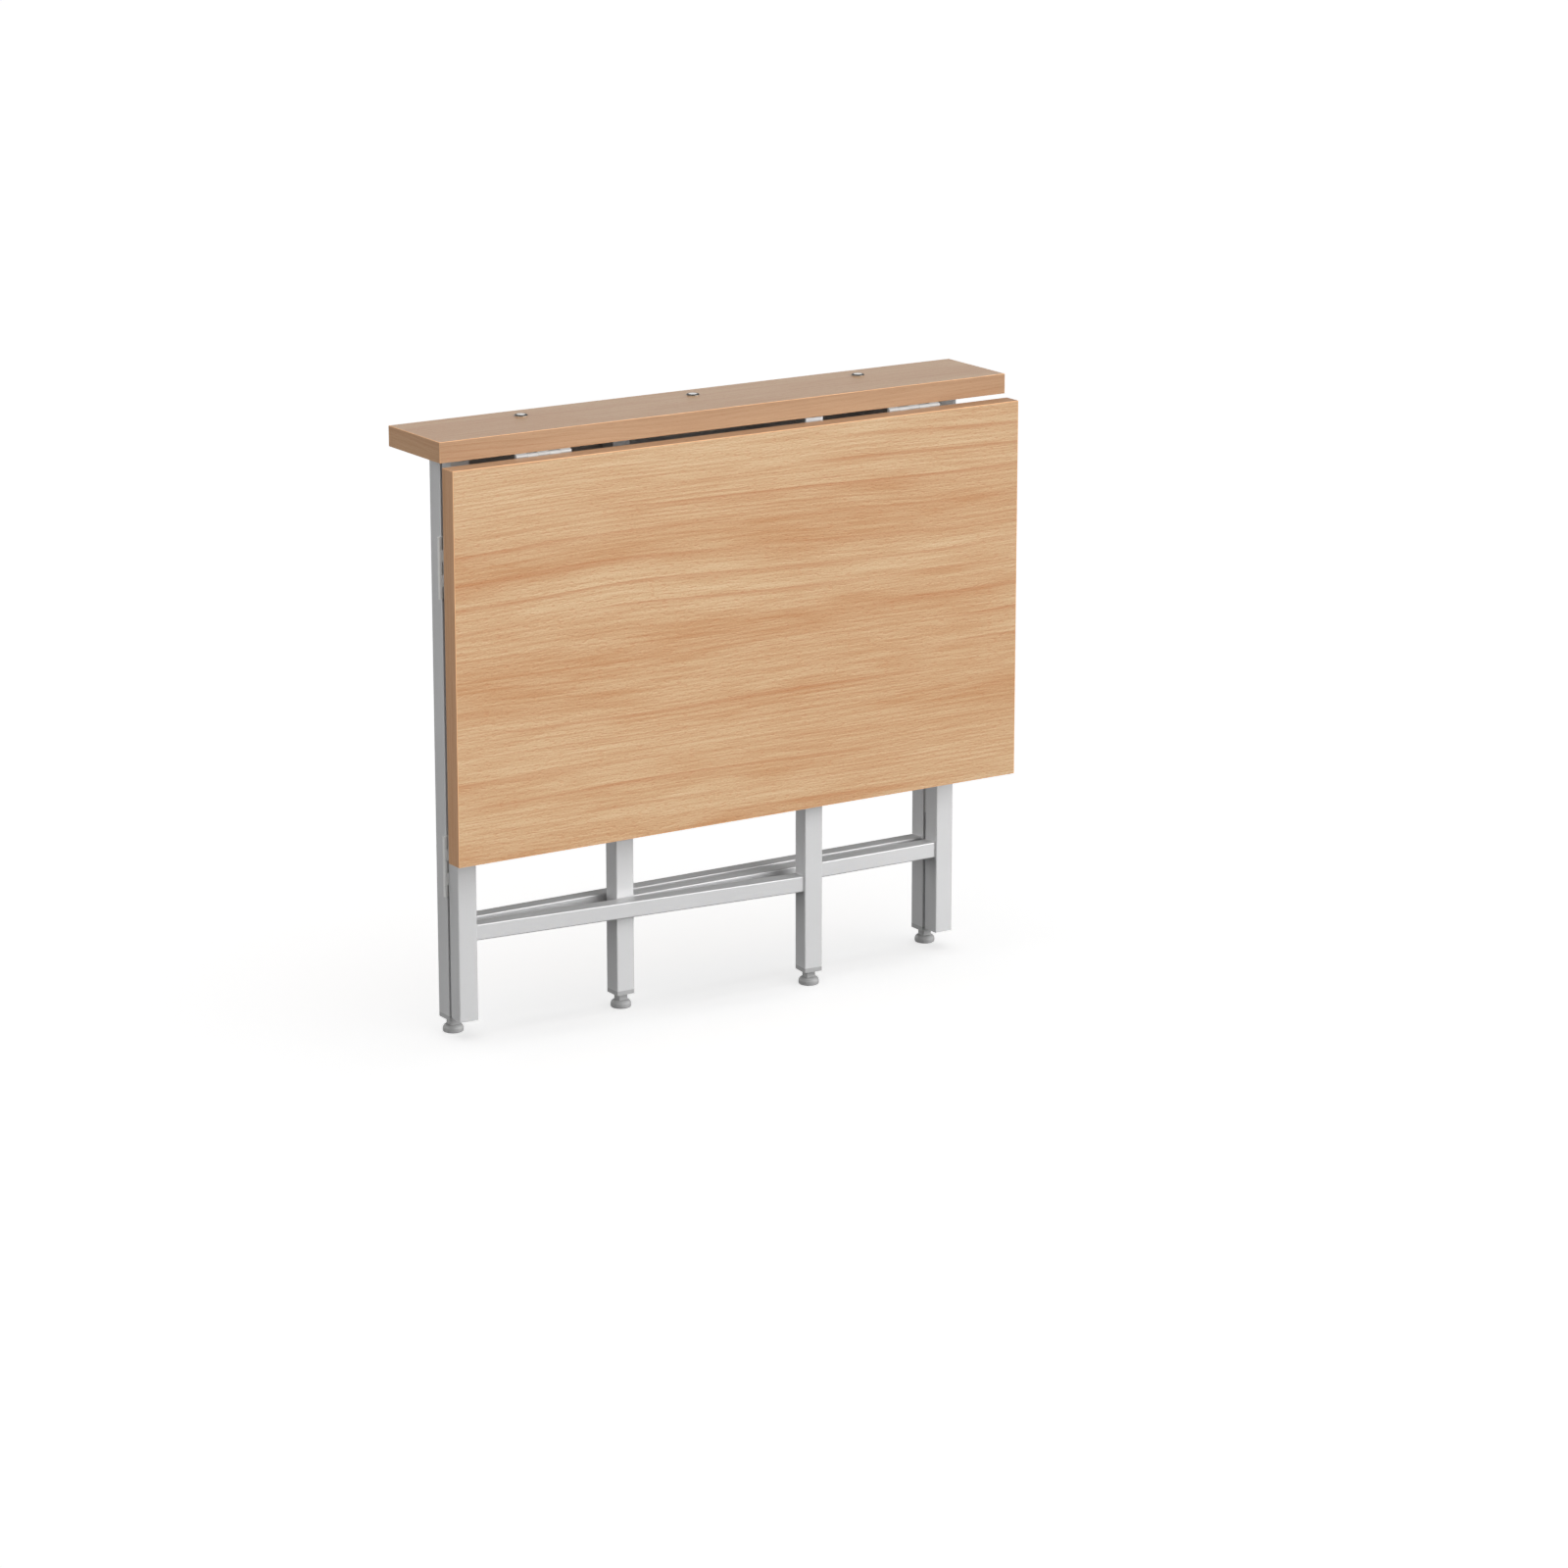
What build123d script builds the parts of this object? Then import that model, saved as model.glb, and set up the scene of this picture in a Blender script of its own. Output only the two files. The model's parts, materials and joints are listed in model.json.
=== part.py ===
"""Gateleg table with one drop leaf, folded.

A narrow top stands on a fixed frame of square tube. The leaf hangs from two butt hinges under the
top's front edge, and two tube gates are folded between the leaf and the fixed frame.

Millimetres. X runs along the table, +Y to its back, +Z up. The origin is on the floor, under the
centre of the folded table.
"""

from build123d import *
import os
from math import cos, radians, sin

os.makedirs("parts", exist_ok=True)

# Overall sizes
length = 800
height = 745
open_depth = 600

# Boards
board = 25
banding = 1
arris = 0.8
top_depth = 122.5
leaf_set = 4.3  # the hanging leaf's back face stands this far in front of the top's front edge
leaf_drop = 4.1  # the hanging leaf's upper edge is this far below the top's underside
leaf_gap = 2  # between the top and the leaf when the leaf is up

# Square tubes
post = 25
rail = 20
wall = 1.5
tube_corner = 1.5
post_inset = 41.5  # from the top's end to the outer face of a fixed post
post_setback = 75.5  # from the top's front edge to the front faces of the fixed posts
post_foot = 23.5  # lower end of every post above the floor
top_rail_height = 25  # of the fixed frame's upper rail
rail_foot = 122.5  # underside of the lower rails above the floor
gate_rail_drop = post  # top of a gate's upper rail below the tops of its posts

# Gates
gate_play = 1  # between a gate and the boards above it
gate_gap = 5.5  # between a gate's hinge post and the fixed post behind it
gate_length = 495.5
gate_turns = {"left": 4.9, "right": -0.5}  # degrees forward from the fixed frame

# Hinges
hinge_length = 75
knuckle_count = 5
knuckle_slack = 0.3
barrel_radius = 2.8
pin_radius = 1.4
running_clearance = 0.05
pin_proud = 0.4
plate = 1.2
plate_width = 25
leaf_hinge_inset = 100  # from the top's end to the hinge's outer end
gate_hinge_feet = {"lower": 175, "upper": 540.5}  # lower end of each hinge above the floor
gate_barrel_out = 3  # from a post's outer face to the pin's axis

# Screws and rivets of the hinges
screw_head = 3.2
screw_radius = 1.75
screw_length = 16
screw_tip = 2.5
screw_point = 0.3
recess_length = 3.4
recess_width = 0.7
recess_depth = 0.8
rivet_bulb = 2.7
rivet_bulb_length = 2.5
fastener_steps = (12, 37.5, 63)  # along the hinge

# Bolts and sleeve nuts that hold the top to the fixed frame
bolt_places = (-240, 0, 240)
bolt_head_radius = 8
bolt_head = 2.2
bolt_head_round = 1.6
bolt_radius = 3
bolt_length = 45
sleeve_radius = 4
sleeve_head_radius = 6.5
sleeve_head = 1.5
sleeve_length = 14

# Plugs, foot inserts and feet
flange = 5.5
plug_length = 22
plug_wall = 2
plug_end = 1.5
sole = 9.5
sole_radius = 12.75
sole_round = 1.6
shoulder_round = 5.5
neck = 12.5
neck_height = 8.5
stem_radius = 4
stem_length = 16

# Worked out from the driving dimensions
overall_depth = top_depth + leaf_set + board
top_front = board + leaf_set - overall_depth / 2
top_middle = top_front + top_depth / 2
underside = height - board
leaf_back = top_front - leaf_set
leaf_top = underside - leaf_drop
leaf_height = open_depth - top_depth - leaf_gap
leaf_axis_y = top_front + (leaf_drop - leaf_gap - leaf_set) / 2
leaf_axis_z = underside - (leaf_set + leaf_drop - leaf_gap) / 2
leaf_hinge_face = underside - leaf_axis_z
fixed_middle = top_front + post_setback + post / 2
post_centre = length / 2 - post_inset - post / 2
fixed_rail_run = 2 * post_centre - post
gate_axis_x = length / 2 - post_inset + gate_barrel_out
gate_axis_y = top_front + post_setback - gate_gap / 2
gate_hinge_face = gate_gap / 2
gate_middle = gate_gap / 2 + post / 2
gate_top = underside - gate_play
gate_rail_run = gate_length - 2 * post
plug_size = post - 2 * wall
plate_root = barrel_radius + 0.5
fastener_line = (plate_root + plate_width) / 2
knuckle_pitch = hinge_length / knuckle_count
outer_knuckles = range(0, knuckle_count, 2)
inner_knuckles = range(1, knuckle_count, 2)
loose_hole = pin_radius + running_clearance
sides = {"left": 1, "right": -1}
on_base = (Align.CENTER, Align.CENTER, Align.MIN)


# Planes ------------------------------------------------------------------------------------------


def moved(plane, x=0, y=0, z=0):
    """The same plane with its origin moved in its own coordinates."""
    return Plane(origin=plane.from_local_coords((x, y, z)), x_dir=plane.x_dir, z_dir=plane.z_dir)


def turned(plane):
    """The same origin with Z along the plane's own X, for a rail that runs that way."""
    return Plane(origin=plane.origin, x_dir=plane.y_dir, z_dir=plane.x_dir)


def fastener_planes(hinge, face, side):
    """Planes on a hinge plate's open face, one per fastener, Z into the piece that it is fixed to."""
    return [
        Plane(
            origin=hinge.from_local_coords((fastener_line, side * (face - plate), step)),
            x_dir=hinge.z_dir,
            z_dir=hinge.y_dir * side,
        )
        for step in fastener_steps
    ]


def raised(planes, amount):
    """The same planes, each moved along its own normal."""
    return [plane.offset(amount) for plane in planes]


# Pieces that repeat ------------------------------------------------------------------------------


def board_core(plane, breadth, holes):
    """A chipboard core on a plane, cut with holes given as (planes, radius, depth)."""
    with BuildPart() as core:
        with BuildSketch(plane):
            Rectangle(length - 2 * banding, breadth - 2 * banding)
        extrude(amount=board)
        for planes, radius, depth in holes:
            with Locations(*planes):
                Cylinder(radius, depth, align=on_base, mode=Mode.SUBTRACT)
    return core.part


def board_edging(plane, breadth):
    """Plastic banding round a board's four edges, its outer arrises rounded."""
    with BuildPart() as edging:
        with BuildSketch(plane):
            Rectangle(length, breadth)
        extrude(amount=board)
        fillet(edging.edges(), arris)
        with BuildSketch(plane):
            Rectangle(length - 2 * banding, breadth - 2 * banding)
        extrude(amount=board, mode=Mode.SUBTRACT)
    return edging.part


def tube(plane, width, depth, run, holes=()):
    """A tube standing on a plane, its width along X, cut with holes given as (planes, radius, depth)."""
    with BuildPart() as piece:
        with BuildSketch(plane):
            RectangleRounded(width, depth, tube_corner)
            RectangleRounded(width - 2 * wall, depth - 2 * wall, tube_corner / 2, mode=Mode.SUBTRACT)
        extrude(amount=run)
        for planes, radius, depth in holes:
            with Locations(*planes):
                Cylinder(radius, depth, align=on_base, mode=Mode.SUBTRACT)
    return piece.part


def tube_plug(plane):
    """A hollow push-in plug inside the end of a post, its closed end on the plane, its normal out."""
    with BuildPart() as piece:
        with BuildSketch(plane):
            RectangleRounded(plug_size, plug_size, tube_corner / 2)
        extrude(amount=-plug_length)
        with BuildSketch(plane.offset(-plug_end)):
            Rectangle(plug_size - 2 * plug_wall, plug_size - 2 * plug_wall)
        extrude(amount=plug_end - plug_length, mode=Mode.SUBTRACT)
    return piece.part


def foot_insert(plane):
    """The plastic end of a post: a square flange under the tube and a body pushed up into it."""
    with BuildPart() as piece:
        with BuildSketch(plane.offset(post_foot - flange)):
            RectangleRounded(post, post, tube_corner)
        extrude(amount=flange)
        with BuildSketch(plane.offset(post_foot)):
            RectangleRounded(plug_size, plug_size, tube_corner / 2)
        extrude(amount=plug_length)
        with BuildSketch(plane.offset(post_foot - flange)):
            Circle(stem_radius)
        extrude(amount=stem_length, mode=Mode.SUBTRACT)
    return piece.part


def foot(plane):
    """A domed round glide on a square neck, with a stem pushed up into the insert."""
    with BuildPart() as piece:
        with BuildSketch(plane):
            Circle(sole_radius)
        extrude(amount=sole)
        fillet(piece.edges().group_by(Axis.Z)[0], sole_round)
        fillet(piece.edges().group_by(Axis.Z)[-1], shoulder_round)
        with BuildSketch(plane.offset(sole - shoulder_round)):
            RectangleRounded(neck, neck, tube_corner)
        extrude(amount=shoulder_round + neck_height)
        with BuildSketch(plane.offset(sole + neck_height)):
            Circle(stem_radius)
        extrude(amount=stem_length)
    return piece.part


def hinge_half(hinge, face, side, knuckles, hole):
    """A hinge plate, its knuckles and its countersunk holes.

    The plane's origin is at one end of the pin's axis, Z runs along the axis and X along the plate.
    The plate lies on a surface that is face away from the axis, on the +Y side (1) or -Y side (-1).
    """
    middle = side * (face - plate / 2)
    with BuildPart() as half:
        with BuildSketch(hinge):
            with Locations((fastener_line, middle)):
                Rectangle(plate_width - plate_root, plate)
        extrude(amount=hinge_length)
        with BuildSketch(*[hinge.offset(n * knuckle_pitch + knuckle_slack / 2) for n in knuckles]):
            Circle(barrel_radius)
            with Locations((plate_root / 2, middle)):
                Rectangle(plate_root, plate)
            Circle(hole, mode=Mode.SUBTRACT)
        extrude(amount=knuckle_pitch - knuckle_slack)
        with Locations(*fastener_planes(hinge, face, side)):
            Cone(screw_head, screw_radius, plate, align=on_base, mode=Mode.SUBTRACT)
    return half.part


def hinge_pin(hinge):
    """The pin through all the knuckles, a little longer than the hinge, its ends chamfered."""
    with BuildPart() as pin:
        with BuildSketch(hinge.offset(-pin_proud)):
            Circle(pin_radius)
        extrude(amount=hinge_length + 2 * pin_proud)
        chamfer(pin.edges().filter_by(GeomType.CIRCLE), pin_proud)
    return pin.part


def wood_screws(planes):
    """Countersunk screws with a cross recess, through a hinge plate and into a board."""
    with BuildPart() as screws:
        with Locations(*planes):
            Cone(screw_head, screw_radius, plate, align=on_base)
        with Locations(*raised(planes, plate)):
            Cylinder(screw_radius, screw_length - screw_tip - plate, align=on_base)
        with Locations(*raised(planes, screw_length - screw_tip)):
            Cone(screw_radius, screw_point, screw_tip, align=on_base)
        with Locations(*planes):
            Box(recess_length, recess_width, recess_depth, align=on_base, mode=Mode.SUBTRACT)
            Box(recess_width, recess_length, recess_depth, align=on_base, mode=Mode.SUBTRACT)
    return screws.part


def blind_rivets(planes):
    """Countersunk rivets, through a hinge plate and a tube's wall to a bulb inside the tube."""
    with BuildPart() as rivets:
        with Locations(*planes):
            Cone(screw_head, screw_radius, plate, align=on_base)
        with Locations(*raised(planes, plate)):
            Cylinder(screw_radius, wall, align=on_base)
        with Locations(*raised(planes, plate + wall)):
            Cylinder(rivet_bulb, rivet_bulb_length, align=on_base)
    return rivets.part


def save(part, name):
    """Label a finished piece and write it under its own name."""
    part.label = name
    export_step(part, f"parts/{name}.step")


# The two boards and the hinges between them --------------------------------------------------------

top_plane = Plane(origin=(0, top_middle, underside), z_dir=(0, 0, 1))
leaf_plane = Plane(origin=(0, leaf_back, leaf_top - leaf_height / 2), x_dir=(1, 0, 0), z_dir=(0, -1, 0))
bolt_planes = [Plane(origin=(x, fixed_middle, height), z_dir=(0, 0, -1)) for x in bolt_places]
hinge_starts = {
    "left": leaf_hinge_inset - length / 2,
    "right": length / 2 - leaf_hinge_inset - hinge_length,
}
top_holes = [(bolt_planes, bolt_radius, board)]
leaf_holes = []

for name, start in hinge_starts.items():
    axis_end = (start, leaf_axis_y, leaf_axis_z)
    back = Plane(origin=axis_end, x_dir=(0, 1, 0), z_dir=(1, 0, 0))
    down = Plane(origin=axis_end, x_dir=(0, 0, -1), z_dir=(1, 0, 0))
    upward = fastener_planes(back, leaf_hinge_face, 1)
    forward = fastener_planes(down, leaf_hinge_face, -1)
    top_holes.append((raised(upward, plate), screw_radius, screw_length - plate))
    leaf_holes.append((raised(forward, plate), screw_radius, screw_length - plate))
    save(hinge_half(back, leaf_hinge_face, 1, outer_knuckles, pin_radius), f"{name}_leaf_hinge_top_plate")
    save(hinge_half(down, leaf_hinge_face, -1, inner_knuckles, loose_hole), f"{name}_leaf_hinge_leaf_plate")
    save(hinge_pin(back), f"{name}_leaf_hinge_pin")
    save(wood_screws(upward), f"{name}_leaf_hinge_top_screws")
    save(wood_screws(forward), f"{name}_leaf_hinge_leaf_screws")

save(board_core(top_plane, top_depth, top_holes), "top_panel")
save(board_edging(top_plane, top_depth), "top_edge_banding")
save(board_core(leaf_plane, leaf_height, leaf_holes), "leaf_panel")
save(board_edging(leaf_plane, leaf_height), "leaf_edge_banding")


# Gates, and the hinges between them and the fixed posts ----------------------------------------------

fixed_rivets = {"left": [], "right": []}

for name, side in sides.items():
    inward = Plane(origin=(-side * gate_axis_x, gate_axis_y, 0), x_dir=(side, 0, 0), z_dir=(0, 0, 1))
    turn = radians(gate_turns[name])
    along = (side * cos(turn), -sin(turn), 0)
    gate = Plane(origin=inward.origin, x_dir=along, z_dir=(0, 0, 1))

    gate_rivets = []
    for level, start in gate_hinge_feet.items():
        fixed_side = inward.offset(start)
        gate_side = gate.offset(start)
        fixed_rivets[name] += fastener_planes(fixed_side, gate_hinge_face, side)
        gate_rivets += fastener_planes(gate_side, gate_hinge_face, -side)
        fixed_half = hinge_half(fixed_side, gate_hinge_face, side, outer_knuckles, pin_radius)
        gate_half = hinge_half(gate_side, gate_hinge_face, -side, inner_knuckles, loose_hole)
        save(fixed_half, f"{name}_{level}_hinge_fixed_plate")
        save(gate_half, f"{name}_{level}_hinge_gate_plate")
        save(hinge_pin(fixed_side), f"{name}_{level}_hinge_pin")
    save(blind_rivets(gate_rivets), f"{name}_gate_rivets")

    rivet_holes = [(raised(gate_rivets, plate), screw_radius, wall)]
    hinge_post = moved(gate, gate_barrel_out + post / 2, -side * gate_middle)
    leg = moved(gate, gate_barrel_out + gate_length - post / 2, -side * gate_middle)
    rail_start = moved(gate, gate_barrel_out + post, -side * gate_middle)
    post_run = gate_top - post_foot
    save(tube(hinge_post.offset(post_foot), post, post, post_run, rivet_holes), f"{name}_gate_hinge_post")
    save(tube(leg.offset(post_foot), post, post, post_run), f"{name}_gate_leg")
    top_rail_start = turned(rail_start.offset(gate_top - gate_rail_drop - rail / 2))
    save(tube(top_rail_start, rail, rail, gate_rail_run), f"{name}_gate_top_rail")
    lower_rail_start = turned(rail_start.offset(rail_foot + rail / 2))
    save(tube(lower_rail_start, rail, rail, gate_rail_run), f"{name}_gate_lower_rail")
    save(tube_plug(hinge_post.offset(gate_top)), f"{name}_gate_hinge_post_plug")
    save(tube_plug(leg.offset(gate_top)), f"{name}_gate_leg_plug")
    save(foot_insert(leg), f"{name}_gate_foot_insert")
    save(foot(leg), f"{name}_gate_foot")


# The fixed frame ---------------------------------------------------------------------------------------

bolt_holes = [(bolt_planes, bolt_radius, board + top_rail_height / 2)]
sleeve_foot = underside - top_rail_height
sleeve_planes = [Plane(origin=(x, fixed_middle, sleeve_foot), z_dir=(0, 0, 1)) for x in bolt_places]
sleeve_holes = [(sleeve_planes, sleeve_radius, wall)]

for name, side in sides.items():
    stand = Plane(origin=(-side * post_centre, fixed_middle, 0), z_dir=(0, 0, 1))
    rivet_holes = [(raised(fixed_rivets[name], plate), screw_radius, wall)]
    save(tube(stand.offset(post_foot), post, post, underside - post_foot, rivet_holes), f"{name}_fixed_post")
    save(tube_plug(stand.offset(underside)), f"{name}_fixed_post_plug")
    save(foot_insert(stand), f"{name}_fixed_foot_insert")
    save(foot(stand), f"{name}_fixed_foot")

rail_end = Plane(origin=(post / 2 - post_centre, fixed_middle, 0), z_dir=(0, 0, 1))
top_rail_plane = turned(rail_end.offset(underside - top_rail_height / 2))
top_rail_holes = bolt_holes + sleeve_holes
save(tube(top_rail_plane, rail, top_rail_height, fixed_rail_run, top_rail_holes), "fixed_top_rail")
lower_rail_plane = turned(rail_end.offset(rail_foot + rail / 2))
save(tube(lower_rail_plane, rail, rail, fixed_rail_run), "fixed_lower_rail")
save(blind_rivets(fixed_rivets["left"] + fixed_rivets["right"]), "fixed_frame_rivets")

with BuildPart() as top_bolts:
    with Locations(*raised(bolt_planes, -bolt_head)):
        Cylinder(bolt_head_radius, bolt_head, align=on_base)
    fillet(top_bolts.edges().group_by(Axis.Z)[-1], bolt_head_round)
    with Locations(*bolt_planes):
        Cylinder(bolt_radius, bolt_length, align=on_base)
save(top_bolts.part, "top_bolts")

with BuildPart() as top_bolt_sleeves:
    with Locations(*raised(sleeve_planes, -sleeve_head)):
        Cylinder(sleeve_head_radius, sleeve_head, align=on_base)
    with Locations(*sleeve_planes):
        Cylinder(sleeve_radius, sleeve_length, align=on_base)
    with Locations(*bolt_planes):
        Cylinder(bolt_radius, bolt_length, align=on_base, mode=Mode.SUBTRACT)
save(top_bolt_sleeves.part, "top_bolt_sleeves")
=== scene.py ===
"""Looks for the folded gateleg table: beech boards, silver tube frame and gates, plated hinges.

Metres, in the row frame: X along the table, +Y to its back, +Z up, origin on the floor.
"""

import bmesh
import bpy
import json
from math import cos, pi, radians, sin
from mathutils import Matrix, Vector


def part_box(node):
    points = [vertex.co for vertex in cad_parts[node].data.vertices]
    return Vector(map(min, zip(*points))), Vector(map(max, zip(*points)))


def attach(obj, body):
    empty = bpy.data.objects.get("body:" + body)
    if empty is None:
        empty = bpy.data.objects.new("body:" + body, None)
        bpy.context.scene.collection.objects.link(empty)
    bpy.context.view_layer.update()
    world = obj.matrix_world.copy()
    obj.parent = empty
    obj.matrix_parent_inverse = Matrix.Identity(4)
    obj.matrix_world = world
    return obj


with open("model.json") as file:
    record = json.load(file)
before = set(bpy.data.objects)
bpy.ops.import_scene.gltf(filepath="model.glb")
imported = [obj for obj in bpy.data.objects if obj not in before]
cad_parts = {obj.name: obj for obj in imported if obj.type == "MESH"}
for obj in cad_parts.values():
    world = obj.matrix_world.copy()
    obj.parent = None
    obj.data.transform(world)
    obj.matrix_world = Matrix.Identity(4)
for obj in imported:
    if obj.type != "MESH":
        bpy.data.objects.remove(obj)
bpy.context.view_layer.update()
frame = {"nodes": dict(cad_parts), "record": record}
nodes = frame["nodes"]


# Node helpers --------------------------------------------------------------------------------------


def add(tree, kind, inputs, **settings):
    """A shader node; each input is a value or the output socket that feeds it."""
    made = tree.nodes.new(kind)
    for key, value in settings.items():
        setattr(made, key, value)
    for key, value in inputs.items():
        if isinstance(value, bpy.types.NodeSocket):
            tree.links.new(value, made.inputs[key])
        else:
            made.inputs[key].default_value = value
    return made


def calc(tree, operation, a, b=0.0):
    """One sum on one or two numbers."""
    return add(tree, "ShaderNodeMath", {0: a, 1: b}, operation=operation).outputs[0]


def noise(tree, vector, factors, detail=2.0, roughness=0.5, output="Fac"):
    """Noise with its own number of cells per metre along each coordinate."""
    scaled = add(tree, "ShaderNodeVectorMath", {0: vector, 1: factors}, operation="MULTIPLY")
    inputs = {"Vector": scaled.outputs[0], "Scale": 1.0, "Detail": detail, "Roughness": roughness}
    return add(tree, "ShaderNodeTexNoise", inputs).outputs[output]


def even(cells):
    """The same number of cells per metre along all three coordinates."""
    return (cells, cells, cells)


def span(tree, value, low, high, to_low=0.0, to_high=1.0):
    """A value brought smoothly from one range to another and held at its ends."""
    inputs = {"Value": value, "From Min": low, "From Max": high, "To Min": to_low, "To Max": to_high}
    made = add(tree, "ShaderNodeMapRange", inputs, interpolation_type="SMOOTHSTEP")
    return made.outputs["Result"]


def blend(tree, factor, first, second, how="MIX"):
    """Two colours mixed by a factor; 6 and 7 are the node's colour inputs and 2 its colour output."""
    inputs = {0: factor, 6: first, 7: second}
    return add(tree, "ShaderNodeMix", inputs, data_type="RGBA", blend_type=how).outputs[2]


def rgb(r, g, b):
    """A linear colour as the sockets take it."""
    return (r, g, b, 1.0)


def grey(tone):
    """A linear neutral grey."""
    return rgb(tone, tone, tone)


def material(name, **constants):
    """A new material, with the shader's constant sockets set."""
    made = bpy.data.materials.new(name)
    made.use_nodes = True
    shader = made.node_tree.nodes["Principled BSDF"]
    for key, value in constants.items():
        shader.inputs[key.replace("_", " ")].default_value = value
    return made, made.node_tree, shader


def finish_surface(tree, shader, colour, roughness, height, depth):
    """Feed the shader its colour, roughness and a bump of the given depth in metres."""
    bump = add(tree, "ShaderNodeBump", {"Height": height, "Distance": depth, "Strength": 1.0})
    tree.links.new(colour, shader.inputs["Base Color"])
    tree.links.new(roughness, shader.inputs["Roughness"])
    tree.links.new(bump.outputs["Normal"], shader.inputs["Normal"])


def position(tree):
    """Where a point is in the row frame at rest, as a vector and as three numbers."""
    vector = add(tree, "ShaderNodeTexCoord", {}).outputs["Object"]
    split = add(tree, "ShaderNodeSeparateXYZ", {"Vector": vector})
    return vector, split.outputs


def normal_parts(tree):
    """The size of each part of the surface's direction in the row frame at rest."""
    vector = add(tree, "ShaderNodeTexCoord", {}).outputs["Normal"]
    made = add(tree, "ShaderNodeVectorMath", {0: vector}, operation="ABSOLUTE")
    return add(tree, "ShaderNodeSeparateXYZ", {"Vector": made.outputs[0]}).outputs


def on_arris(tree):
    """One on a rounded edge of a square section and nothing on its flats."""
    parts = normal_parts(tree)
    greatest = calc(tree, "MAXIMUM", calc(tree, "MAXIMUM", parts["X"], parts["Y"]), parts["Z"])
    return span(tree, greatest, 0.985, 0.9)


# Beech ---------------------------------------------------------------------------------------------


def along_grain(tree, along, across, shift):
    """A vector with the grain along X and the growth rings across it along Y."""
    sockets = position(tree)[1]
    inputs = {"X": calc(tree, "ADD", sockets[along], shift), "Y": sockets[across], "Z": shift}
    return add(tree, "ShaderNodeCombineXYZ", inputs).outputs[0]


def swayed(tree, vector, factors, reach):
    """The grain pushed to and fro across itself by noise, up to the given reach in metres."""
    push = noise(tree, vector, factors, detail=1.0, output="Color")
    centred = add(tree, "ShaderNodeVectorMath", {0: push, 1: (0.5, 0.5, 0.5)}, operation="SUBTRACT")
    inputs = {0: centred.outputs[0], 1: (0.0, reach * 2.0, 0.0), 2: vector}
    return add(tree, "ShaderNodeVectorMath", inputs, operation="MULTIPLY_ADD").outputs[0]


def moved(tree, vector, offset):
    """A vector with an offset added."""
    return add(tree, "ShaderNodeVectorMath", {0: vector, 1: offset}, operation="ADD").outputs[0]


def growth_rings(tree, grain, pitch, wander, broken):
    """Rings a pitch apart that wander by so many pitches, and fade in and out along the grain.

    Each ring stays light for most of its pitch, darkens towards its far edge and then stops short.
    """
    late_wood = 6.0
    ring_end = 0.95
    across = add(tree, "ShaderNodeSeparateXYZ", {"Vector": grain}).outputs["Y"]
    drift = calc(tree, "MULTIPLY", noise(tree, grain, (0.9, 0.25 / pitch, 1.0)), wander)
    phase = calc(tree, "FRACT", calc(tree, "ADD", calc(tree, "DIVIDE", across, pitch), drift))
    rise = calc(tree, "POWER", phase, late_wood)
    edge = span(tree, phase, 1.0, ring_end)
    present = span(tree, noise(tree, grain, broken), 0.42, 0.62)
    return calc(tree, "MULTIPLY", calc(tree, "MULTIPLY", rise, edge), present)


def beech_surface(tree, shader, grain, light, deep, red, flecked=1.0):
    """Colour, roughness and bump of a beech decor between a light, a deep and a reddish tone.

    The flecks are the wood's rays: dark spindles, each with a pale one beside it that is a painted
    highlight, as if its raised edge caught the light.
    """
    highlight_offset = 0.0013
    deepest_pore = 0.00005
    bent = swayed(tree, grain, (1.5, 4.0, 1.0), 0.02)
    bent = swayed(tree, bent, (9.0, 45.0, 1.0), 0.001)
    belts = span(tree, noise(tree, bent, (0.8, 8.0, 1.0), 3.0, 0.6), 0.34, 0.66)
    wide = growth_rings(tree, bent, 0.03, 1.4, (1.6, 12.0, 1.0))
    narrow = growth_rings(tree, bent, 0.0065, 2.0, (1.4, 10.0, 1.0))
    streaks = span(tree, noise(tree, bent, (8.0, 330.0, 1.0), 3.0, 0.65), 0.34, 0.66)
    fleck_cells = (110.0, 480.0, 1.0)
    dark = span(tree, noise(tree, bent, fleck_cells, 1.0), 0.54, 0.68)
    # Painted highlight: a pale copy of each dark fleck, moved a little across the grain.
    beside = moved(tree, bent, (0.0, highlight_offset, 0.0))
    pale = span(tree, noise(tree, beside, fleck_cells, 1.0), 0.54, 0.68)
    fibre = span(tree, noise(tree, bent, (320.0, 950.0, 1.0)), 0.34, 0.66)
    tone = calc(tree, "ADD", calc(tree, "MULTIPLY", belts, 0.5), calc(tree, "MULTIPLY", streaks, 0.5))
    colour = blend(tree, tone, light, deep)
    colour = blend(tree, calc(tree, "MULTIPLY", wide, 0.8), colour, red)
    colour = blend(tree, calc(tree, "MULTIPLY", narrow, 0.65), colour, red)
    shown = 0.52 * flecked
    # The pale flecks lighten the colour as a painted highlight; the dark flecks are the rays' own
    # colour.
    colour = blend(tree, calc(tree, "MULTIPLY", pale, shown), colour, rgb(1.16, 1.24, 1.34), "MULTIPLY")
    colour = blend(tree, calc(tree, "MULTIPLY", dark, shown), colour, rgb(0.8, 0.59, 0.45), "MULTIPLY")
    darker = 0.7 * flecked
    colour = blend(tree, calc(tree, "MULTIPLY", fibre, darker), colour, rgb(0.86, 0.8, 0.74), "MULTIPLY")
    rough = span(tree, calc(tree, "ADD", dark, streaks), 0.0, 1.6, 0.36, 0.48)
    raised = calc(tree, "ADD", calc(tree, "MULTIPLY", pale, 0.6), calc(tree, "MULTIPLY", fibre, 0.4))
    height = calc(tree, "SUBTRACT", raised, dark)
    finish_surface(tree, shader, colour, rough, height, deepest_pore * flecked)


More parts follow.
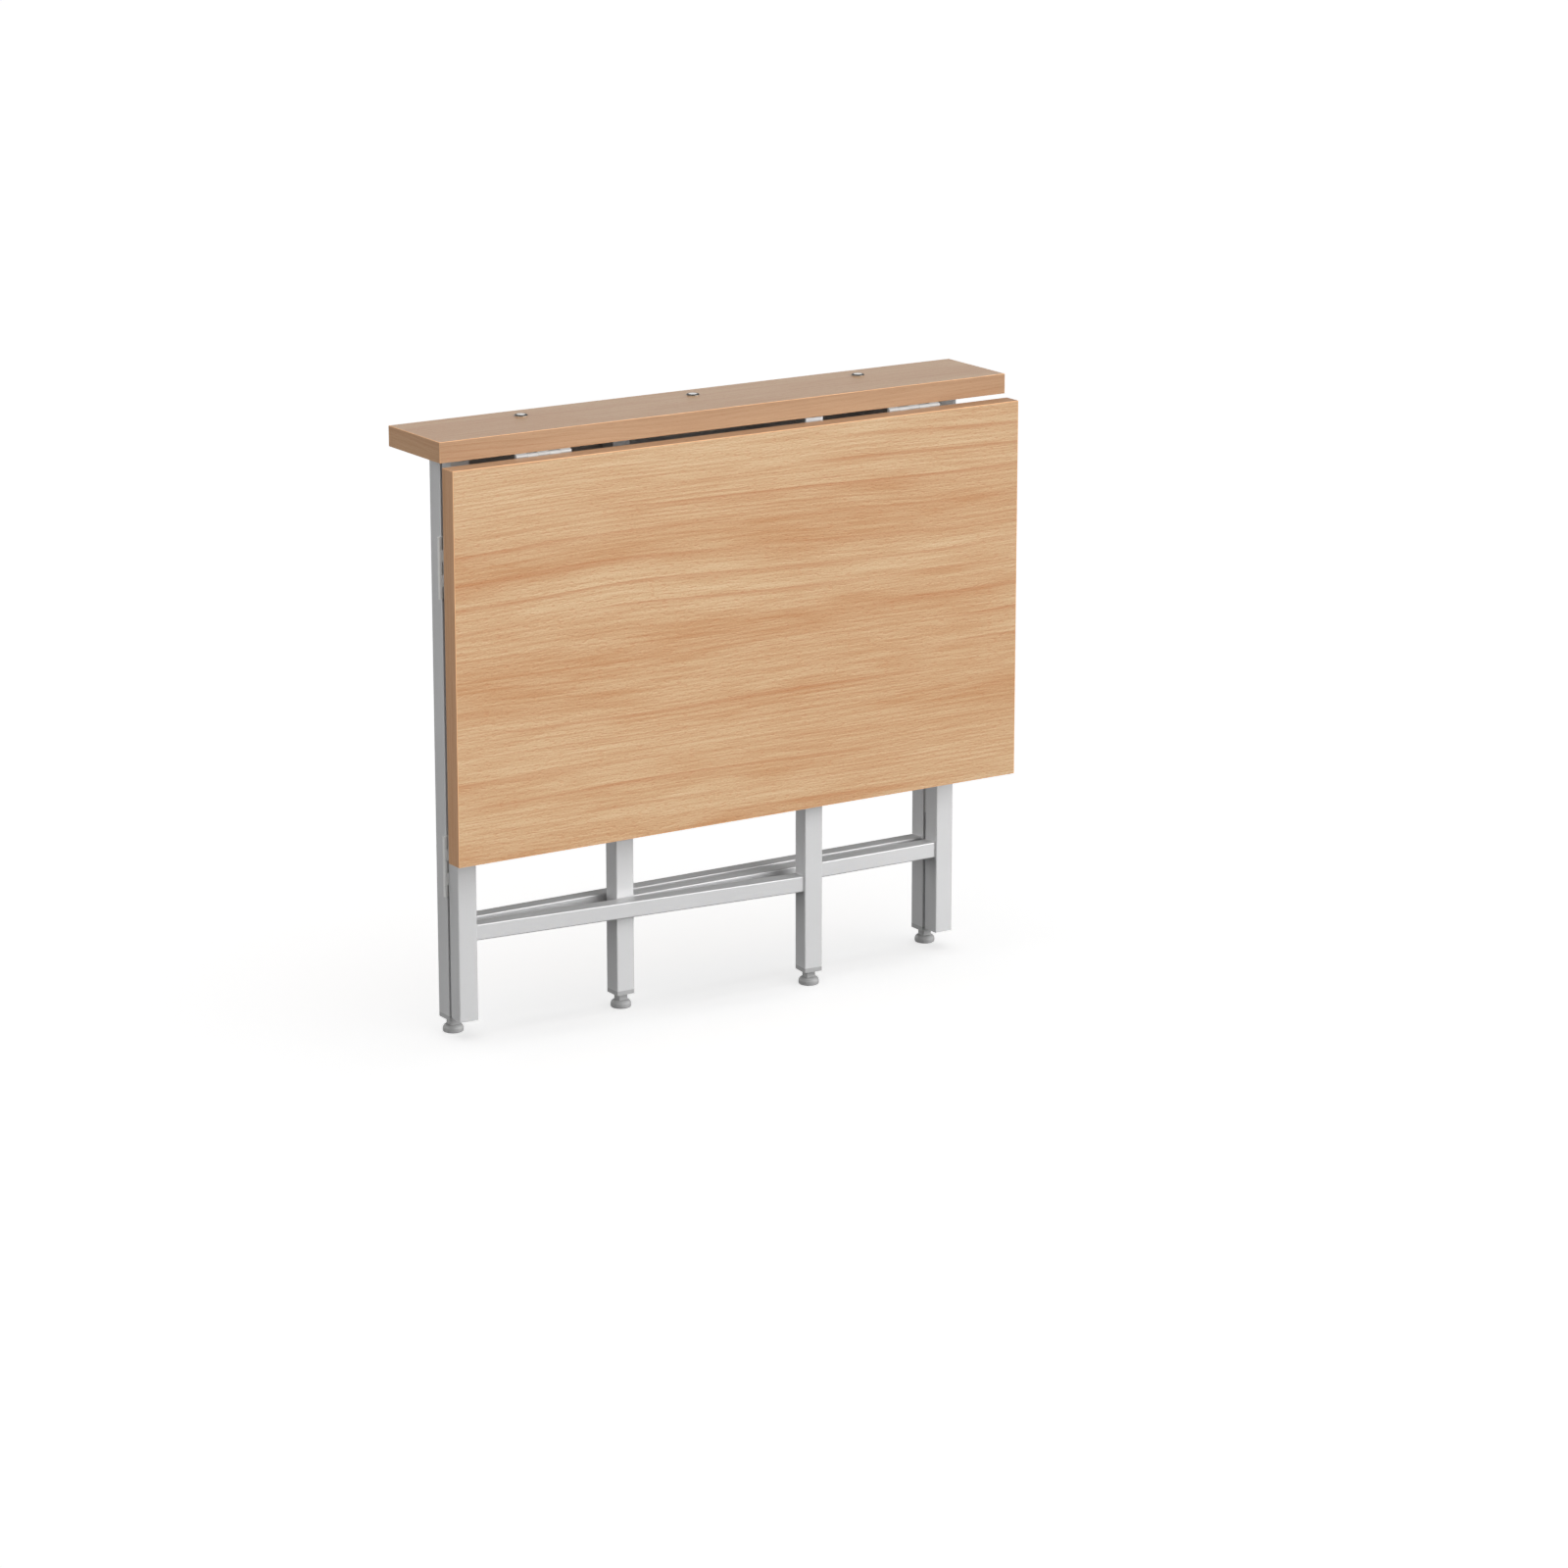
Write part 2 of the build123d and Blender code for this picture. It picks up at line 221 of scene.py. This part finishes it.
def beech_face(name, across, shift):
    """Laminate face of a board, with the grain along the table."""
    made, tree, shader = material(name, Specular_IOR_Level=0.3, Coat_Weight=1.0, Coat_Roughness=0.3)
    tones = (rgb(0.592, 0.436, 0.27), rgb(0.444, 0.231, 0.105), rgb(0.41, 0.168, 0.064))
    beech_surface(tree, shader, along_grain(tree, "X", across, shift), *tones)
    return made


def beech_edge(name, tone, thin, along, shift):
    """Edge banding: its grain runs along each strip, so it turns on the two short ends.

    The thin axis is the board's thickness, and the two ends run along the other given axis. What
    faces along the thickness, and the rounded arrises, are lighter: partly where the edging was cut
    back, partly a painted highlight.
    """
    made, tree, shader = material(name, Specular_IOR_Level=0.2)
    front = along_grain(tree, "X", thin, shift)
    end = along_grain(tree, along, thin, shift)
    on_end = span(tree, normal_parts(tree)["X"], 0.6, 0.8)
    grain = add(tree, "ShaderNodeMix", {0: on_end, 4: front, 5: end}, data_type="VECTOR").outputs[1]
    full_tones = ((0.48, 0.305, 0.185), (0.385, 0.22, 0.125), (0.33, 0.17, 0.085))
    tones = [rgb(*[tone * part for part in parts]) for parts in full_tones]
    beech_surface(tree, shader, grain, *tones, flecked=0.3)
    # Painted highlight, over the lighter cut-back edging: on the rounded arrises and on what faces along
    # the thickness.
    cut_edge_and_highlight = calc(tree, "MAXIMUM", on_arris(tree), span(tree, normal_parts(tree)[thin], 0.3, 0.6))
    colour = shader.inputs["Base Color"].links[0].from_socket
    # The lighter orange is partly the cut-back edging's own colour and partly a painted highlight.
    lighter = blend(tree, calc(tree, "MULTIPLY", cut_edge_and_highlight, 0.9), colour, rgb(0.7, 0.41, 0.225))
    tree.links.new(lighter, shader.inputs["Base Color"])
    return made


# Metals and plastics ---------------------------------------------------------------------------------


def powder_coat(name):
    """Satin silver powder coat: a fine orange peel, faint cloudiness and small metallic specks."""
    made, tree, shader = material(name, Metallic=0.6, Specular_IOR_Level=0.2)
    where = position(tree)[0]
    cloud = noise(tree, where, even(6.0))
    peel = noise(tree, where, even(900.0))
    specks = span(tree, noise(tree, where, even(2600.0), detail=0.0), 0.6, 0.75)
    colour = blend(tree, cloud, rgb(0.52, 0.521, 0.525), rgb(0.555, 0.556, 0.56))
    colour = blend(tree, calc(tree, "MULTIPLY", specks, 0.35), colour, grey(0.66))
    finish_surface(tree, shader, colour, span(tree, cloud, 0.2, 0.8, 0.52, 0.6), peel, 0.00002)
    return made


def plated_steel(name, tone, metallic, low, high):
    """Plated steel between a low and a high roughness, darker and duller where it has been handled."""
    made, tree, shader = material(name, Metallic=metallic)
    where = position(tree)[0]
    grain = noise(tree, where, even(500.0), 3.0, 0.7)
    handled = noise(tree, where, even(55.0))
    clean = rgb(tone, tone, tone * 0.99)
    dulled = rgb(tone * 0.88, tone * 0.88, tone * 0.86)
    colour = blend(tree, handled, clean, dulled)
    rough = span(tree, calc(tree, "ADD", grain, handled), 0.6, 1.4, low, high)
    finish_surface(tree, shader, colour, rough, grain, 0.000006)
    return made


def chromed_bolt(name):
    """Round bolt heads in painted light: a painted highlight in the middle, a painted dark reflection on
    the shoulder and a painted reflection of the wood on the side.

    The box of the three bolts, the middle one at X = 0, is two pitches longer than it is deep.
    """
    made, tree, shader = material(name)
    low, high = [Vector(corner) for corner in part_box("top_bolts")]
    pitch = (high.x - low.x - high.y + low.y) / 2
    highlight_radius, highlight_fade_radius = 0.0048, 0.0062
    where, sockets = position(tree)
    place = calc(tree, "ROUND", calc(tree, "DIVIDE", sockets["X"], pitch))
    nearest = calc(tree, "MULTIPLY", place, pitch)
    inputs = {"X": calc(tree, "SUBTRACT", sockets["X"], nearest)}
    inputs["Y"] = calc(tree, "SUBTRACT", sockets["Y"], (low.y + high.y) / 2)
    offset = add(tree, "ShaderNodeCombineXYZ", inputs).outputs[0]
    reach = add(tree, "ShaderNodeVectorMath", {0: offset}, operation="LENGTH").outputs["Value"]
    steepness = normal_parts(tree)["Z"]
    # The painted highlight covers the flat crown out to the highlight radius and fades out towards the
    # shoulder.
    within_highlight_radius = span(tree, reach, highlight_fade_radius, highlight_radius)
    middle = calc(tree, "MULTIPLY", span(tree, steepness, 0.9, 0.99), within_highlight_radius)
    side = span(tree, steepness, 0.35, 0.1)
    # Painted light: a bright painted highlight on the crown, a dark painted reflection on the shoulder,
    # and a brown painted reflection of the wood on the side.
    colour = blend(tree, middle, rgb(0.07, 0.068, 0.065), rgb(0.76, 0.755, 0.74))
    colour = blend(tree, side, colour, rgb(0.3, 0.22, 0.15))
    grain = noise(tree, where, even(700.0))
    smudge = span(tree, noise(tree, where, even(260.0)), 0.3, 0.7, 0.3, 0.42)
    finish_surface(tree, shader, colour, smudge, grain, 0.000004)
    # Where the highlight and the wood's reflection are painted, the head is not metallic; the dark
    # shoulder stays metal.
    painted_light_parts = calc(tree, "MAXIMUM", middle, side)
    tree.links.new(calc(tree, "SUBTRACT", 1.0, painted_light_parts), shader.inputs["Metallic"])
    return made


def moulded_plastic(name, tone):
    """Matt grey moulding with a fine spark-eroded grain, scuffed a little lighter in places."""
    made, tree, shader = material(name, Specular_IOR_Level=0.4)
    where = position(tree)[0]
    grain = noise(tree, where, even(1400.0))
    scuff = span(tree, noise(tree, where, (120.0, 120.0, 160.0), 3.0, 0.7), 0.55, 0.75)
    colour = blend(tree, grain, grey(tone), grey(tone * 1.12))
    colour = blend(tree, calc(tree, "MULTIPLY", scuff, 0.4), colour, grey(tone * 1.4))
    finish_surface(tree, shader, colour, span(tree, grain, 0.3, 0.7, 0.5, 0.62), grain, 0.00002)
    return made


finishes = {
    "silver_tube": powder_coat("silver_powder_coat"),
    "hinge_steel": plated_steel("gate_hinge_plating", tone=0.72, metallic=0.35, low=0.34, high=0.44),
    "zinc_fasteners": plated_steel("zinc_plating", tone=0.66, metallic=0.8, low=0.28, high=0.42),
    "chrome_bolts": chromed_bolt("chrome_painted_light"),
    "grey_plastic": moulded_plastic("grey_moulding", tone=0.3),
    "foot_plastic": moulded_plastic("foot_moulding", tone=0.26),
}
# A darker, duller copy of the gate hinges' plating, as painted shade: these hinges stand in the key
# light and the gate hinges in shade, and the two copies then look about equally bright.
leaf_hinge_painted_shade_finish = plated_steel("leaf_hinge_plating_painted_shade", tone=0.38, metallic=0.1, low=0.44, high=0.54)
board_finishes = {
    "top_panel": beech_face("beech_top", across="Y", shift=3.0),
    "leaf_panel": beech_face("beech_leaf", across="Z", shift=0.0),
    "top_edge_banding": beech_edge("beech_top_edge", 0.87, "Z", along="Y", shift=7.0),
    "leaf_edge_banding": beech_edge("beech_leaf_edge", 1.0, "Y", along="Z", shift=9.0),
}
for entry in frame["record"]["subparts"]:
    name = entry["node"]
    chosen = board_finishes.get(name) or finishes[entry["material_slot"]]
    # The leaf hinges take the copy of the plating that is darkened as painted shade.
    if "leaf_hinge" in name and "screws" not in name:
        chosen = leaf_hinge_painted_shade_finish
    for index in range(len(nodes[name].material_slots)):
        nodes[name].material_slots[index].material = chosen


# Weld beads ------------------------------------------------------------------------------------------


# Lengths in metres, and turns in radians from one point of the bead to the next.
RAIL_CORNER = 0.0015
BEND_STEPS = 6
BEAD_SPACING = 0.0004
BEAD_SIDES = 8
BEAD_RADIUS = 0.0007
RIPPLE = 0.0002
RIPPLE_TURN = 0.45
SWELL = 0.00006
SWELL_TURN = 0.17
CEILING_GAP = 0.0001


def around(half_width, half_height):
    """Points along a rail's rounded outline, each with its outward direction."""
    bends = []
    for number, (x, y) in enumerate(((1, 1), (-1, 1), (-1, -1), (1, -1))):
        inner = Vector((x * (half_width - RAIL_CORNER), y * (half_height - RAIL_CORNER)))
        for step in range(BEND_STEPS + 1):
            angle = pi / 2 * (number + step / BEND_STEPS)
            out = Vector((cos(angle), sin(angle)))
            bends.append((inner + out * RAIL_CORNER, out))
    bends.append(bends[0])
    points = []
    for (start, first), (end, last) in zip(bends, bends[1:]):
        steps = max(1, round((end - start).length / BEAD_SPACING))
        for step in range(steps):
            share = step / steps
            points.append((start.lerp(end, share), first.lerp(last, share).normalized()))
    return points


def rail_ends(rail, first_post, last_post):
    """A rail's two ends, the way it runs, and half its depth and height, from its box and posts.

    The box of a rail that is turned in plan is not the rail's own length and depth, so the turn,
    which is that of the line between its two posts, is taken out again.
    """
    low, high = [Vector(corner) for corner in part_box(rail)]
    posts = [[Vector(corner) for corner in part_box(post)] for post in (first_post, last_post)]
    first, last = [(lowest + highest) / 2 for lowest, highest in posts]
    run = Vector((last.x - first.x, last.y - first.y, 0.0)).normalized()
    size = high - low
    cosine, sine = abs(run.x), abs(run.y)
    shared = cosine ** 2 - sine ** 2
    length = (size.x * cosine - size.y * sine) / shared
    depth = (size.y * cosine - size.x * sine) / shared
    middle = (low + high) / 2
    ends = (middle - run * length / 2, middle + run * length / 2)
    return ends, run, depth / 2, size.z / 2


def weld_bead(mesh, end, run, half_depth, half_height, ceiling):
    """A rippled bead round the end of a rail, against its post, and held below the ceiling."""
    side = Vector((-run.y, run.x, 0.0))
    up = Vector((0.0, 0.0, 1.0))
    loops = []
    for number, (point, out) in enumerate(around(half_depth, half_height)):
        centre = end + side * point.x + up * point.y
        outward = side * out.x + up * out.y
        ripple = RIPPLE * abs(sin(number * RIPPLE_TURN))
        radius = BEAD_RADIUS + ripple + SWELL * sin(number * SWELL_TURN)
        loop = []
        for step in range(BEAD_SIDES):
            turn = 2 * pi * step / BEAD_SIDES
            place = centre + (outward * cos(turn) + run * sin(turn)) * radius
            place.z = min(place.z, ceiling)
            loop.append(mesh.verts.new(place))
        loops.append(loop)
    for loop, following in zip(loops, loops[1:] + loops[:1]):
        for step in range(BEAD_SIDES):
            after = (step + 1) % BEAD_SIDES
            mesh.faces.new((loop[step], loop[after], following[after], following[step]))


def welds(name, body, rails):
    """The painted weld beads of one welded frame, each rail given with its two posts."""
    mesh = bmesh.new()
    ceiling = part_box("top_panel")[0][2] - CEILING_GAP
    for rail in rails:
        ends, run, half_depth, half_height = rail_ends(*rail)
        for end in ends:
            weld_bead(mesh, end, run, half_depth, half_height, ceiling)
    bmesh.ops.recalc_face_normals(mesh, faces=mesh.faces)
    for face in mesh.faces:
        face.smooth = True
    data = bpy.data.meshes.new(name)
    mesh.to_mesh(data)
    mesh.free()
    data.materials.append(finishes["silver_tube"])
    piece = bpy.data.objects.new(name, data)
    bpy.context.scene.collection.objects.link(piece)
    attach(piece, body)


fixed_posts = ("left_fixed_post", "right_fixed_post")
fixed_rails = [(f"fixed_{place}_rail", *fixed_posts) for place in ("top", "lower")]
welds("fixed_frame_welds", "frame", fixed_rails)
for side in ("left", "right"):
    gate_posts = (f"{side}_gate_hinge_post", f"{side}_gate_leg")
    gate_rails = [(f"{side}_gate_{place}_rail", *gate_posts) for place in ("top", "lower")]
    welds(f"{side}_gate_welds", f"{side}_gate", gate_rails)


# Stage, light and camera -----------------------------------------------------------------------------


def floor():
    """A plain white floor past the camera's view, which looks whiter than it lights the table."""
    reach = 60.0
    lighting_tone, seen_tone, seen_glow = 0.2, 0.8, 0.64
    mesh = bpy.data.meshes.new("floor")
    corners = [(-reach, -reach, 0), (reach, -reach, 0), (reach, reach, 0), (-reach, reach, 0)]
    mesh.from_pydata(corners, [], [(0, 1, 2, 3)])
    made, tree, shader = material("floor_white", Roughness=0.9, Specular_IOR_Level=0.0)
    shader.inputs["Emission Color"].default_value = grey(1.0)
    seen = add(tree, "ShaderNodeLightPath", {}).outputs["Is Camera Ray"]
    tone = blend(tree, seen, grey(lighting_tone), grey(seen_tone))
    tree.links.new(tone, shader.inputs["Base Color"])
    tree.links.new(calc(tree, "MULTIPLY", seen, seen_glow), shader.inputs["Emission Strength"])
    mesh.materials.append(made)
    plane = bpy.data.objects.new("floor", mesh)
    bpy.context.scene.collection.objects.link(plane)
    return plane


def softlight(name, turn, rise, spread, strength):
    """A broad even light, in degrees: its turn to the right of the front, its rise and its spread."""
    light = bpy.data.lights.new(name, "SUN")
    light.angle = radians(spread)
    light.energy = strength
    lamp = bpy.data.objects.new(name, light)
    lamp.rotation_euler = (radians(90 - rise), 0.0, radians(turn))
    bpy.context.scene.collection.objects.link(lamp)
    return lamp


def link_light(lamp, things, state):
    """Leave things out of what a light falls on (EXCLUDE), or let it fall on them alone (INCLUDE)."""
    group = bpy.data.collections.new(lamp.name + "_receivers")
    for index, thing in enumerate(things):
        group.objects.link(thing)
        group.collection_objects[index].light_linking.link_state = state
    lamp.light_linking.receiver_collection = group


def side_light(name, turn, rise, spread, strength, unlit, boards):
    """A light from one side, with a twin for the boards that leaves no highlight on them."""
    lamp = softlight(name, turn, rise, spread, strength)
    link_light(lamp, unlit + boards, "EXCLUDE")
    matt = softlight(name + "_on_boards", turn, rise, spread, strength)
    matt.visible_glossy = False
    link_light(matt, boards, "INCLUDE")


def sky():
    """A pale surround, dimmer overhead, to the left and behind the table."""
    world = bpy.data.worlds.new("surround")
    world.use_nodes = True
    tree = world.node_tree
    background = tree.nodes["Background"]
    direction = add(tree, "ShaderNodeTexCoord", {}).outputs["Generated"]
    sockets = add(tree, "ShaderNodeSeparateXYZ", {"Vector": direction}).outputs
    low_glow = span(tree, sockets["Z"], 0.0, 0.7, 0.7, 0.2)
    from_right = span(tree, sockets["X"], -0.6, 0.6, 0.9, 1.1)
    from_front = span(tree, sockets["Y"], -0.2, 0.8, 1.0, 0.75)
    sideways = calc(tree, "MULTIPLY", from_right, from_front)
    tree.links.new(calc(tree, "MULTIPLY", low_glow, sideways), background.inputs["Strength"])
    background.inputs["Color"].default_value = grey(1.0)
    bpy.context.scene.world = world


def camera():
    """Three-quarter view from the front left, well above the top and looking down on it."""
    dip, turn = 15.012, -32.989
    data = bpy.data.cameras.new("camera")
    data.sensor_width = 36.0
    data.lens = 119.73
    data.clip_end = 200.0
    eye = bpy.data.objects.new("camera", data)
    eye.location = (-3.2889, -5.2277, 1.924)
    eye.rotation_euler = (radians(90 - dip), 0.0, radians(turn))
    bpy.context.scene.collection.objects.link(eye)
    bpy.context.scene.camera = eye


ground = floor()
sky()
boards = [nodes[name] for name in board_finishes]
# In the photo the boards shade these rails more than the broad lights here would let them.
shaded_rail = nodes["fixed_top_rail"]
lower_rails = [nodes[name] for name in nodes if name.endswith("lower_rail")]
side_light("key", 38.0, 17.0, 50.0, 4.35, [ground, shaded_rail], boards)
side_light("left_fill", -80.0, 10.0, 60.0, 2.2, [ground, shaded_rail], boards)
side_light("back_fill", -160.0, 15.0, 50.0, 1.0, [ground], boards)
link_light(softlight("overhead", 0.0, 82.0, 50.0, 0.7), [shaded_rail] + lower_rails, "EXCLUDE")
camera()
bpy.context.scene.view_settings.view_transform = "Standard"
